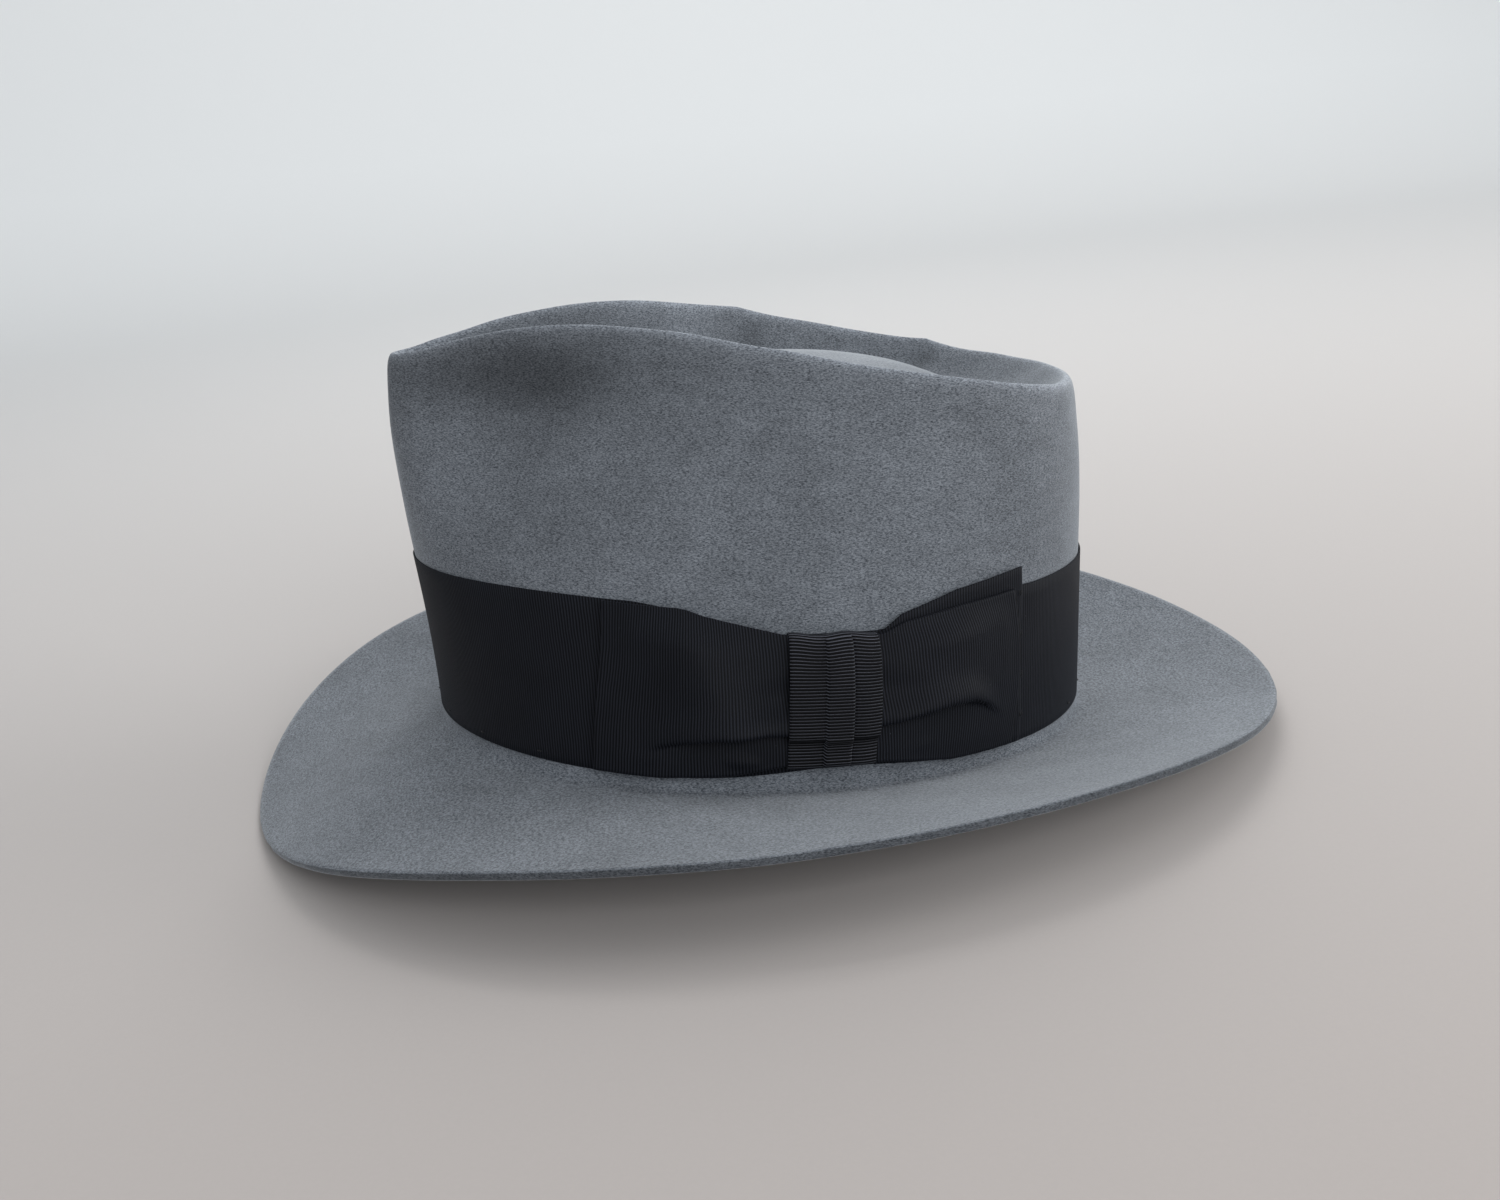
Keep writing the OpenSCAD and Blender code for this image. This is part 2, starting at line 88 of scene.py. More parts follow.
# How far the crown's foot sits in from its oval, and how far the back of the ridge is rounded off
FRONT_IN, BACK_IN, SHOULDER = 3.0, 0.8, 3.3
BRIM_W, BRIM_CURL = 60.5, 1.25
BRIM_ROWS = (1, 0.78, 0.52, 0.28, 0.1)
LOW_ROWS = (0, 4, 20, 36, 52, 68)
HIGH_ROWS = (0.76, 0.9, 1)
TOP_ROWS = (0.9, 0.78, 0.66, 0.5, 0.34, 0.18, 0)
TOP_DROPS = (0.62, 1, 0.55, 0.16, 0.05, 0.01, 0)
TOP_FOLLOWS = (0.85, 0.5, 0.3, 0.1, 0, 0, 0)
BACK_EASE = (0.20, 0.05, 0, 0, 0, 0, 0)
WALL_LEAN = 1.45
BREAK_ROW = len(BRIM_ROWS)
RIDGE_ROW = BREAK_ROW + len(LOW_ROWS) + len(HIGH_ROWS) - 1
LAST_ROW = RIDGE_ROW + len(TOP_ROWS)
# Where the dent was pressed to a corner, degrees round, with how sharp each is
CORNERS = ((175.5, 1.0), (135, 0.9), (4.5, 0.4), (45, 0.3))


def ramp(x, a, b):
    return np.clip((x - a) / (b - a), 0, 1)


def smooth(x, a, b):
    t = ramp(x, a, b)
    return t * t * (3 - 2 * t)


def bump(d, w):
    return np.exp(-(d * d) / (w * w))


def turned(a, b):
    return (a - b + 180) % 360 - 180


def sin_d(a):
    return np.sin(np.radians(a))


def cos_d(a):
    return np.cos(np.radians(a))


def around(values, a):
    """Smooth closed curve through evenly spaced values, the first at the front."""
    n, out = len(values), 0
    for k, v in enumerate(values):
        d = np.radians(a - 270 - 360 * k / n)
        s = np.sin(d / 2)
        near = np.abs(s) < 1e-6
        out = out + v * np.where(
            near, 1.0, np.sin(n * d / 2) * np.cos(d / 2) / (n * np.where(near, 1, s))
        )
    return out


def corner(a):
    return sum(k * np.exp(-np.abs(turned(a, at)) / 7.0) for at, k in CORNERS)


def at_back(a):
    return smooth(sin_d(a), 0.45, 0.95)


def foot_in(a):
    return np.where(sin_d(a) < 0, FRONT_IN, -BACK_IN) * sin_d(a) ** 2


def ridge_xy(a, cusp=1.0):
    out = 1 + 0.045 * corner(a) * cusp
    x = RIDGE_RX * cos_d(a) * (1 + RIDGE_TAPER * sin_d(a)) * out
    return x, (RIDGE_RY * sin_d(a) - RIDGE_SHIFT - DENT_Y) * out + DENT_Y


def wall_xy(a, t):
    k = t**WALL_LEAN
    pinch = PINCH * bump(t - 0.8, np.where(t > 0.8, 0.12, 0.22))
    pinch = pinch * (bump(turned(a, 315), 22) + bump(turned(a, 225), 22))
    swell = np.where(sin_d(a) > 0, -0.6 * np.sin(np.pi * t), -3.5 * np.sin(np.pi * t**1.8))
    rx, ry = ridge_xy(a)
    aside = cos_d(a) / np.sqrt(cos_d(a) ** 2 + 0.05)
    x = BASE_RX * cos_d(a) * (1 - k) + rx * k - pinch * aside
    y = BASE_RY * sin_d(a) * (1 - k) + ry * k + swell * sin_d(a) ** 2 + foot_in(a) * (1 - t)
    nx, ny = out_xy(a)
    rounded = SHOULDER * (0.8 * smooth(sin_d(a), -0.75, 0) + 0.2 * at_back(a)
                         + 0.5 * bump(turned(a, 270), 20))
    rounded = rounded * smooth(t, 0.8, 1)
    return x - nx * rounded, y - ny * rounded


def out_xy(a):
    nx, ny = cos_d(a) / BASE_RX, sin_d(a) / BASE_RY
    size = np.hypot(nx, ny)
    return nx / size, ny / size


def columns(a):
    """Control points (rows, n, 3) of the felt's outer face at the angles a."""
    h, e = around(CROWN, a), around(BRIM, a)
    h = h + 1.2 * corner(a)
    nx, ny = out_xy(a)
    w = np.sqrt(BRIM_W**2 - e * e)
    rows = []
    for f in BRIM_ROWS:
        y = BASE_RY * sin_d(a) + foot_in(a) * (1 - f) + ny * w * f
        rows.append((BASE_RX * cos_d(a) + nx * w * f, y, e * f**BRIM_CURL))
    for z in LOW_ROWS:
        rows.append((*wall_xy(a, z / h), z + 0 * a))
    for t in HIGH_ROWS:
        rows.append((*wall_xy(a, t + 0 * a), t * h))
    for f, d, g, ease in zip(TOP_ROWS, TOP_DROPS, TOP_FOLLOWS, BACK_EASE):
        rx, ry = ridge_xy(a, ramp(f, 0.4, 0.8))
        rows.append((rx * f, DENT_Y + (ry - DENT_Y) * f,
                     ISLAND_Z + (h - ISLAND_Z) * g - (d - ease * at_back(a)) * CHANNEL))
    return np.stack([np.stack(r, -1) for r in rows])


def spline(f, before, start, end, after):
    """Uniform cubic B-spline: the point at the share f of the span between start and end."""
    return ((1 - f) ** 3 * before + (3 * f**3 - 6 * f**2 + 4) * start
            + (-3 * f**3 + 3 * f**2 + 3 * f + 1) * end + f**3 * after) / 6


def along(c, v):
    """Points of the columns c at the row numbers v, both over the same n columns."""
    c = np.concatenate([2 * c[:1] - c[1:2], c, 2 * c[-1:] - c[-2:-1]])
    v = np.broadcast_to(v, (v.shape[0], c.shape[1]))
    i = np.clip(np.floor(v).astype(int), 0, len(c) - 4)
    k = np.arange(c.shape[1])[None, :]
    return spline((v - i)[..., None], c[i, k], c[i + 1, k], c[i + 2, k], c[i + 3, k])


def unit(v):
    return v / np.maximum(np.linalg.norm(v, axis=-1, keepdims=True), 1e-12)


def surface(a, v):
    """Points and outward normals of the felt at angles a (n,) and rows v (m, n) or (m, 1)."""
    v = np.asarray(v, float)
    v = v if v.ndim == 2 else v[:, None]
    here = columns(a)
    p = along(here, v)
    da = along(columns(a + 0.25), v) - along(columns(a - 0.25), v)
    dv = along(here, np.minimum(v + 0.03, LAST_ROW)) - along(here, v - 0.03)
    n = unit(np.cross(da, dv))
    flat = np.broadcast_to(v >= LAST_ROW - 1e-6, n.shape[:2])
    n[flat] = (0, 0, 1)
    return p, n


def row_of(z):
    return np.where(z > 20, BREAK_ROW + 2 + (z - 20) / 16, BREAK_ROW + 1 + (z - 6) / 14)


def on_wall(a, z, off):
    """Points standing off the lower wall; a, z and off are arrays of one shape."""
    a, z, off = np.broadcast_arrays(np.asarray(a, float), z, off)
    flat_a, flat_z = a.ravel(), z.ravel()
    p = along(columns(flat_a), row_of(np.maximum(flat_z, 6))[None, :])[0]
    nx, ny = out_xy(flat_a)
    o = off.ravel()
    return np.stack([p[:, 0] + nx * o, p[:, 1] + ny * o, flat_z], -1).reshape(*a.shape, 3)


# ---------------------------------------------------------------- mesh building
def new_piece(name, points, faces, uv, slot, stands_for, look=None):
    """A mesh object in metres from points in millimetres, riding on the hat. The material is
    the slot's, unless look names another one of the same stuff."""
    mesh = bpy.data.meshes.new(name)
    mesh.from_pydata((np.asarray(points, float) * MM).tolist(), [], faces)
    layer = mesh.uv_layers.new(name="along_across")
    index = np.empty(len(mesh.loops), int)
    mesh.loops.foreach_get("vertex_index", index)
    layer.data.foreach_set("uv", (np.asarray(uv)[index] * MM).ravel())
    mesh.validate()
    for poly in mesh.polygons:
        poly.use_smooth = True
    obj = bpy.data.objects.new(name, mesh)
    bpy.context.scene.collection.objects.link(obj)
    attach(obj, BODY)
    for node in stands_for:
        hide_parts(node)
    mesh.materials.append(MATERIALS[look or slot])
    return obj


def grid_faces(m, n, wrap_m, wrap_n, start=0):
    i, j = np.meshgrid(np.arange(m if wrap_m else m - 1), np.arange(n if wrap_n else n - 1),
                       indexing="ij")
    i2, j2 = (i + 1) % m, (j + 1) % n
    quads = np.stack([i * n + j, i2 * n + j, i2 * n + j2, i * n + j2], -1).reshape(-1, 4)
    return (quads + start).tolist()


def lengths(p, axis):
    d = np.linalg.norm(np.diff(p, axis=axis), axis=-1)
    zero = np.zeros_like(np.take(d, [0], axis=axis))
    return np.concatenate([zero, np.cumsum(d, axis=axis)], axis=axis)


def strip(name, mid, thick, closed=False, flip=False, step=None, **kw):
    """A ribbon of that thickness on a grid of mid points (stations, across, 3), with rounded
    long edges. closed joins the last station to the first."""
    m, n = mid.shape[:2]
    if closed:
        along_d = np.roll(mid, -1, 0) - np.roll(mid, 1, 0)
    else:
        along_d = np.gradient(mid, axis=0)
    across_d = np.gradient(mid, axis=1)
    nor = unit(np.cross(along_d, across_d)) * (-1 if flip else 1)
    edge = unit(across_d)
    half = thick / 2
    low = mid[:, 0] - edge[:, 0] * half * 0.8
    high = mid[:, -1] + edge[:, -1] * half * 0.8
    loop = np.concatenate([mid + nor * half, high[:, None], (mid - nor * half)[:, ::-1],
                           low[:, None]], axis=1)
    if closed:
        step = step or np.linalg.norm(np.roll(mid, -1, 0) - mid, axis=-1).mean()
        u = np.arange(m)[:, None] * step + np.zeros((m, n))
    else:
        u = lengths(mid, 0).mean(1, keepdims=True) + np.zeros((m, n))
    v = lengths(mid, 1)
    uv = np.stack([u, v], -1)
    uv_loop = np.concatenate([uv, uv[:, -1:], uv[:, ::-1], uv[:, :1]], axis=1)
    k = loop.shape[1]
    faces = grid_faces(m, k, closed, True)
    if flip:
        faces = [f[::-1] for f in faces]
    if not closed:
        first = list(range(k))
        last = [(m - 1) * k + j for j in range(k)]
        faces += cap(first, n, flip) + cap(last, n, not flip)
    return new_piece(name, loop.reshape(-1, 3), faces, uv_loop.reshape(-1, 2), **kw)


def cap(ring, n, turned_over):
    """Closes the end of a ribbon: its two faces are paired point by point."""
    k = len(ring)
    quads = [[ring[j], ring[j + 1], ring[k - 3 - j], ring[k - 2 - j]] for j in range(n - 1)]
    quads += [[ring[n - 1], ring[n], ring[n + 1]], [ring[k - 1], ring[0], ring[k - 2]]]
    return [q[::-1] for q in quads] if turned_over else quads


def cupped_shell(rows, over, under):
    """Points and faces of a shell like a cap. Its rows (m, n, 3) go from the middle of its
    outside to the rim and back to the middle of its inside; over and under close them."""
    m, n = rows.shape[:2]
    points = np.concatenate([[over], rows.reshape(-1, 3), [under]])
    faces = grid_faces(m, n, False, True, 1)
    faces += [[0, 1 + j, 1 + (j + 1) % n] for j in range(n)]
    last = 1 + (m - 1) * n
    faces += [[last + (j + 1) % n, last + j, 1 + m * n] for j in range(n)]
    return points, faces


def ring_body(name, rows, **kw):
    """A closed ring through rows (m, n, 3): n round the hat, m round its section."""
    m, n = rows.shape[:2]
    u = lengths(rows, 1).mean(0)[None, :] + np.zeros((m, n))
    v = lengths(rows, 0).mean(1)[:, None] + np.zeros((m, n))
    return new_piece(name, rows.reshape(-1, 3), grid_faces(m, n, True, True),
                     np.stack([u, v], -1).reshape(-1, 2), **kw)


def thread_piece(name, starts, ends, thick, arch, **kw):
    """Stitches: short twisted threads that sink at both ends; arch lifts their middles."""
    points, faces, uv = [], [], []
    sides, steps = 8, 9
    for p, q in zip(np.asarray(starts, float), np.asarray(ends, float)):
        axis = unit(q - p)
        lift = unit(np.array([p[0], p[1], 0.0]) * arch)
        side = unit(np.cross(axis, lift))
        up = np.cross(side, axis)
        start = len(points)
        length = np.linalg.norm(q - p)
        for i in range(steps):
            f = i / (steps - 1)
            centre = p + (q - p) * f + up * thick * 0.35 * math.sin(math.pi * f)
            r = thick / 2 * (0.25 + 0.75 * math.sin(math.pi * min(max(f, 0.04), 0.96)) ** 0.35)
            for j in range(sides):
                w = 2 * math.pi * j / sides
                rr = r * (1 + 0.12 * math.cos(2 * w + 9 * f))
                points.append(centre + side * rr * math.cos(w) + up * rr * math.sin(w))
                uv.append((f * length, j / sides * thick * math.pi))
        faces += grid_faces(steps, sides, False, True, start)
        faces.append([start + j for j in range(sides)])
        faces.append([start + (steps - 1) * sides + j for j in reversed(range(sides))])
    return new_piece(name, points, faces, uv, **kw)


# ---------------------------------------------------------------- felt
def hand_waver(a, v):
    """Slight unevenness of hand-finished felt, in millimetres along the surface normal."""
    r = np.radians(a)
    out = 0.10 * np.sin(5 * r + 0.9 * v) + 0.08 * np.sin(9 * r - 1.3 * v + 1.1)
    out = out + 0.05 * np.sin(17 * r + 2.3 * v + 0.4) + 0.04 * np.sin(23 * r - 3.1 * v + 2.0)
    return out * (0.6 + 0.8 * smooth(v, 8, 12)) * smooth(v, 18.5, 15)


def felt_rows(shares):
    return np.concatenate([np.linspace(lo, hi, k, endpoint=False) for lo, hi, k in shares])


def make_felt():
    n = 384
    a = np.arange(n) * 360 / n
    v_out = felt_rows(((0, 4, 34), (4, 6, 30), (6, 11, 50), (11, 15.6, 92), (15.6, 19.9, 34)))
    v_in = felt_rows(((0, 4, 18), (4, 6, 14), (6, 11, 20), (11, 15.6, 44), (15.6, 19.9, 16)))
    p, nor = surface(a, v_out)
    p = p + nor * hand_waver(a[None, :], v_out[:, None])[..., None]
    q, nor_q = surface(a, v_in)
    q = q + nor_q * hand_waver(a[None, :], v_in[:, None])[..., None]
    q = q - nor_q * FELT_T
    # the raw cut edge, a little rounded and uneven
    edge = unit(p[0] - p[1])
    rough = 0.12 * np.sin(np.radians(a) * 61) + 0.1 * np.sin(np.radians(a) * 97 + 1)
    rim = [p[0] + edge * (0.28 * math.sin(math.pi * f) ** 0.5 + rough[:, None] * f * (1 - f) * 3)
           - nor[0] * FELT_T * f for f in (0.12, 0.32, 0.5, 0.68, 0.88)]
    apex = along(columns(a[:1]), np.array([[LAST_ROW]]))[0, 0]
    rows = np.concatenate([p[::-1], np.stack(rim), q])
    points, faces = cupped_shell(rows, apex, apex - (0, 0, FELT_T))
    # the cut edge's faces: the felt's material paints them at half brightness, painted shade on the
    # edge's upright face
    cut = np.zeros(len(points))
    first = 1 + len(p) * n
    cut[first:first + len(rim) * n] = 1
    # painted shade in the front pinch dents, just under the front ridge and in the dent's two
    # corner creases; painted highlight along the ridge top
    painted_shade_and_highlight = bump(points[:, 2] - 106.5, 12) * bump(np.abs(points[:, 0]) - 28, 20)
    painted_shade_and_highlight = painted_shade_and_highlight * smooth(-points[:, 1], 15, 60)
    past = (v_out[::-1] - RIDGE_ROW)[:, None] + 0 * a
    crease = 0.75 * bump(past - 1.2, 0.7) * (np.exp(-np.abs(turned(a, 172)) / 3.5)
                                             + 0.9 * np.exp(-np.abs(turned(a, 131)) / 3.5))
    shade = crease + 0.16 * bump(past + 0.9, 0.6) * smooth(-sin_d(a), -0.6, 0)
    painted_shade_and_highlight[1:first] += (shade - bump(past - 0.02, 0.36)).ravel()
    mark = np.stack([cut, painted_shade_and_highlight], -1) / MM
    return new_piece("felt_hat_body", points, faces, mark, slot="felt", stands_for=("felt_body",))


# ---------------------------------------------------------------- ribbons
RIBBON_T, RIBBON_W = 0.5, 0.050
BAND_TOP, KNOT_DIP = 50.5, 7.5
KNOT_AT, KNOT_W, DEG_MM = 5.5, 21.8, 0.61
KNOT_TOP, KNOT_LOW = 43.9, 8.0
FRONT_L, REAR_L, BACKING_L = 60.0, 50.0, 56.8
WRAP_OFF, BACK_OFF, LOOP_OFF = 1.2, 2.0, 2.9
RIB, RIB_RISE, RIB_CUTS = 0.86, 0.15, 6


def band_dip(a):
    """How much of the knot's dip the hatband's upper edge has at the angle a."""
    d = turned(a, KNOT_AT)
    return ramp(d, -30, -8) ** 1.3 * smooth(-d, -19, -7)


def make_hatband():
    n = 420
    a = np.arange(n) * 360 / n
    top = row_of(BAND_TOP - KNOT_DIP * band_dip(a) + 0.15 * np.sin(np.radians(a) * 7))
    low = 5.80 + 0.27 * bump(turned(a, KNOT_AT), 15) + 0.02 * np.sin(np.radians(a) * 5)
    f = np.linspace(0, 1, 15)[:, None]
    rows = low + (top - low) * f
    p, nor = surface(a, rows)
    lift = 0.15 + RIBBON_T / 2 + 0.10 * np.sin(np.radians(a) * 11 + 1)[None, :] * f**3
    mid = (p + nor * (lift + 0.02)[..., None]).transpose(1, 0, 2)
    band = strip("hatband_ribbon_grosgrain", mid, RIBBON_T, closed=True, slot="grosgrain",
                 stands_for=("hatband_ribbon",))


def bow_point(s, z, off):
    """A point s millimetres round from the knot's middle, towards the back."""
    return on_wall(KNOT_AT + s * DEG_MM, z, off)


# Heights of each wing's lower and upper edge, by the distance s from the knot's middle
def front_edges(s):
    low = np.interp(s, (0, 12, 27, 45, 60), (9.6, 9.2, 6.4, 5.1, 5.4))
    top = np.interp(s, (0, 12, 31, 36, 61), (43.3, 43.9, 48.6, 50.4, 51.2))
    return low, top


def rear_edges(s):
    low = np.interp(s, (0, 12, 30, 45, 54), (8.8, 8.2, 5.9, 6.0, 6.6))
    top = np.interp(s, (0, 12, 18, 34, 51), (42.8, 43.2, 46.0, 49.0, 50.6))
    return low, top


def front_relief(s, z):
    """How far the front wing's outer layer stands off, in millimetres."""
    crest = 26 + (z - 17) * 0.34
    out = 0.9 - 0.7 * ramp(s, 25, 52) + 4.3 * bump(s - crest, np.where(s < crest, 8.5, 13))
    tuck = np.interp(s, (8, 18, 29, 40, 48, 56), (17.3, 17.9, 17.6, 15.2, 12.6, 9.0))
    depth = 6.0 * smooth(s, 50, 30)
    out = out + 2.6 * smooth(s, 50, 32) * bump(z - tuck - 1.6, 4.5)
    out = out - depth * (1 - smooth(z, tuck - 0.55, tuck + 0.55))
    out = out + 1.9 * smooth(s, 54, 30) * bump(z - 10, 3.2) * (z < tuck)
    out = out + 0.25 * np.sin(z * 0.55 + s * 0.12) * bump(s - 14, 9)
    return np.maximum(out, 0.35)


def rear_relief(s, z):
    crest = 24 + (z - 20) * 0.25
    out = 0.9 - 0.7 * ramp(s, 22, 46) + 3.4 * bump(s - crest, np.where(s < crest, 13, 15))
    tuck = np.interp(s, (8, 13, 20, 27, 34, 40, 46, 50),
                     (18.6, 19.4, 21.4, 22.8, 22.6, 20.2, 15.5, 11.0))
    depth = 5.0 * smooth(s, 49, 33)
    out = out + 2.2 * smooth(s, 46, 32) * bump(z - tuck - 1.8, 4.5)
    out = out - depth * (1 - smooth(z, tuck - 0.8, tuck + 0.8))
    out = out + 1.3 * smooth(s, 48, 26) * bump(z - 12, 5) * (z < tuck)
    out = out + 0.22 * np.sin(z * 0.5 + s * 0.15 + 1) * bump(s - 14, 9)
    return np.maximum(out, 0.35)


def make_wing(name, node, direction, length, edges, relief, end_shape):
    """A folded loop of ribbon: outer layer from the knot, round the fold, and back. end_shape
    is how far the fold reaches past the length, by the share t of the way up the ribbon."""
    f_out = np.linspace(0.05, 0.965, 64)
    fold = np.linspace(0, math.pi, 11)[1:-1]
    f_in = np.linspace(0.965, 0.05, 24)
    t = np.linspace(0, 1, 57)[None, :]
    near_end = smooth(f_out, 0.84, 0.965)[:, None]
    s_out = f_out[:, None] * length + end_shape(t) * smooth(f_out, 0.3, 0.965)[:, None]
    low, top = edges(s_out)
    z_out = low + (top - low) * t
    pressed = 1 - 0.85 * smooth(t, 0.80, 1.0) - 0.5 * smooth(t, 0.12, 0.0)
    r = 0.40
    o_out = LOOP_OFF + 2 * r + relief(s_out, z_out) * pressed * (1 - near_end)
    last_s, last_z, last_o = s_out[-1:], z_out[-1:], o_out[-1:]
    s_fold = last_s + (r * np.sin(fold))[:, None] * 1.6
    o_fold = LOOP_OFF + r + (last_o - LOOP_OFF - r) * np.cos(fold)[:, None]
    z_fold = last_z + 0 * s_fold
    s_in = f_in[:, None] * length + end_shape(t) * smooth(f_in, 0.3, 0.965)[:, None]
    low, top = edges(s_in)
    z_in = low + 0.3 + (top - low - 0.6) * t
    o_in = LOOP_OFF + 0 * z_in
    s = np.concatenate([s_out, s_fold, s_in]) * direction
    z = np.concatenate([z_out, z_fold, z_in])
    o = np.concatenate([o_out, o_fold, o_in])
    made = strip(name, bow_point(s, z, o), RIBBON_T, flip=direction < 0, slot="grosgrain",
                 stands_for=(node,))


def make_backing():
    s = np.linspace(-34, BACKING_L, 90)[:, None]
    t = np.linspace(0, 1, 25)[None, :]
    low = 5.4 + 3.4 * ramp(-np.abs(s), -28, -12) - 0.4 * smooth(s, 30, 56)
    top = np.interp(s, (-34, -26, -12, 12, 18, 34, 56),
                    (48.0, 45.6, KNOT_TOP - 1, KNOT_TOP - 1, 47.6, 52.8, 56.4))
    z = low + (top - low) * t
    s = s - 1.2 * smooth(s, 30, 56) * (1 - t) + 0 * z
    o = BACK_OFF + 0.25 * smooth(s, 40, 56) * np.sin(t * 9) + 0 * z
    made = strip("bow_backing_ribbon", bow_point(s, z, o), RIBBON_T, slot="grosgrain",
                 stands_for=("bow_backing",))


def even_loop(points, step):
    """The closed smooth loop near the points, cut into whole ribs of equal steps."""
    k = len(points)
    u = np.arange(0, k, 0.02)
    i = np.floor(u).astype(int)
    fine = spline((u - i)[:, None], *(points[(i + d) % k] for d in (-1, 0, 1, 2)))
    ends = np.concatenate([fine, fine[:1]])
    far = np.concatenate([[0], np.cumsum(np.linalg.norm(np.diff(ends, axis=0), axis=1))])
    count = RIB_CUTS * round(far[-1] / step / RIB_CUTS)
    at = np.arange(count) * far[-1] / count
    return np.stack([np.interp(at, far, ends[:, c]) for c in (0, 1)], -1)


def make_knot():
    wrap_t = 0.4
    top, low = KNOT_TOP, KNOT_LOW
    path = np.array([
        (low + 2.4, 5.5), (12.6, 5.3), (15.0, 5.5), (16.3, 6.3), (16.9, 7.5), (18.3, 8.2),
        (22, 8.3), (27, 8.3), (32, 8.1), (36, 7.7), (39.5, 7.2), (top - 2.6, 6.6), (top - 0.9, 5.8),
        (top - 0.2, 4.7), (top + 0.1, 3.4), (top - 0.3, WRAP_OFF + 0.4), (top - 1.2, WRAP_OFF),
        (36, WRAP_OFF), (28, WRAP_OFF), (20, WRAP_OFF), (13, WRAP_OFF), (low + 1.4, WRAP_OFF),
        (low + 0.4, WRAP_OFF + 0.4), (low, 2.9), (low + 0.2, 4.4), (low + 1.0, 5.2)])
    fine = even_loop(path, RIB / RIB_CUTS)
    side = np.roll(fine, -1, 0) - np.roll(fine, 1, 0)
    side = unit(np.stack([side[:, 1], -side[:, 0]], -1))
    beat = np.cos(2 * np.pi * np.arange(len(fine)) / RIB_CUTS)
    cuts = np.concatenate([np.linspace(-1, -0.24, 15), np.linspace(-0.225, -0.19, 3),
                           np.linspace(-0.15, 0.31, 9), np.linspace(0.345, 0.38, 3),
                           np.linspace(0.40, 0.7, 6), np.linspace(0.74, 1, 7)])
    z, o = fine[:, :1], fine[:, 1:]
    front = smooth(o, 4.2, 5.6)
    over = smooth(cuts, -0.235, -0.195) * smooth(-cuts, -0.375, -0.34)
    left = 0.30 * np.sin(np.pi * ramp(cuts, -1, -0.24)) + 0.35 * ramp(cuts, -1, -0.24) ** 2
    right = 0.45 * np.sin(np.pi * ramp(cuts, 0.38, 1)) - 0.1
    relief = np.where(cuts < -0.23, left, np.where(cuts > 0.375, right, 0.2)) + 0 * z
    hold = 0.9 + 1.6 * smooth(z, 18.5, 15.5) * smooth(z, low, low + 3)
    relief = relief + over * hold + 0.12 * np.sin(cuts * 3)
    ribs = RIB_RISE * beat[:, None] * (0.35 + 0.65 * front)
    half = KNOT_W / 2 * (1 - 0.02 * np.abs(z - 26) / 18)
    s = cuts[None, :] * half - 2.4 * (1 - (z - low) / (top - low)) - 0.3
    z = z + 0.35 * np.sin(cuts * 5)[None, :] * smooth(z, 30, 44) + side[:, :1] * ribs
    o = o + front * relief + side[:, 1:] * ribs
    made = strip("bow_knot_wrap", bow_point(s + 0 * z, z, o), wrap_t, closed=True, flip=True,
                 step=RIB / RIB_CUTS, slot="grosgrain", look="ribbed_grosgrain",
                 stands_for=("bow_knot",))


def make_bow():
    make_backing()
    make_wing("bow_front_wing_loop", "bow_front_wing", -1, FRONT_L, front_edges, front_relief,
              lambda t: 4.4 - 6.8 * t + 0.4 * np.sin(t * 6))
    make_wing("bow_rear_wing_loop", "bow_rear_wing", 1, REAR_L, rear_edges, rear_relief,
              lambda t: 1.8 + 1.7 * t + 2.8 * np.sin(math.pi * t))
    make_knot()


# ---------------------------------------------------------------- sewing
THREAD = 0.4


def make_outer_threads():
    a = np.arange(60, 326, 15.0)
    off = 0.15 + RIBBON_T + 0.15
    thread_piece("hatband_tacks", on_wall(a, 6.5, off), on_wall(a + 1, 6.55, off), THREAD, 1,
                 slot="dark_thread", stands_for=("hatband_tack_stitches",))
    s, z = np.meshgrid((BACKING_L - 0.8, BACKING_L - 1.6), np.arange(12, 49, 12.0))
    off = BACK_OFF + RIBBON_T / 2 + 0.15
    p, q = bow_point(s, z, off).reshape(-1, 3), bow_point(s + 0.3, z + 2, off).reshape(-1, 3)
    thread_piece("bow_tacks", p, q, THREAD, 1, slot="dark_thread",
                 stands_for=("bow_tack_stitches",))


# ---------------------------------------------------------------- inside
LEATHER_T, SATIN_T = 1.0, 0.3
SWEAT_OFF, SWEAT_H = -3.7, 54.0
FACE_OFF = SWEAT_OFF - LEATHER_T
JOINT_AT = 90.0
# The small bow inside: its ribbon, and degrees round the back to a millimetre
BOW_T, DEG_A_MM = 0.3, 0.56


def make_sweatband():
    n = 300
    a = JOINT_AT + 0.5 + (360 - 1.0) * np.linspace(0, 1, n)
    z = np.concatenate([np.linspace(0.5, 8, 8), np.linspace(10, SWEAT_H, 14)])
    A, Z = np.meshgrid(a, z, indexing="ij")
    top = smooth(Z, 40, SWEAT_H)
    off = SWEAT_OFF - LEATHER_T / 2 - 0.35 * top * (1 + np.sin(np.radians(A) * 6 + 0.5))
    off = off + 0.08 * np.sin(np.radians(A) * 13) * smooth(Z, 8, 30)
    Z = Z + 0.25 * np.sin(np.radians(A) * 5) * top
    made = strip("sweatband_leather", on_wall(A, Z, off), LEATHER_T * 0.9, slot="sweat_leather",
                 stands_for=("sweatband",))


def ring_at(z, off, n=288):
    a = np.arange(n) * 360 / n
    return on_wall(a, z + 0 * a, off + 0 * a)


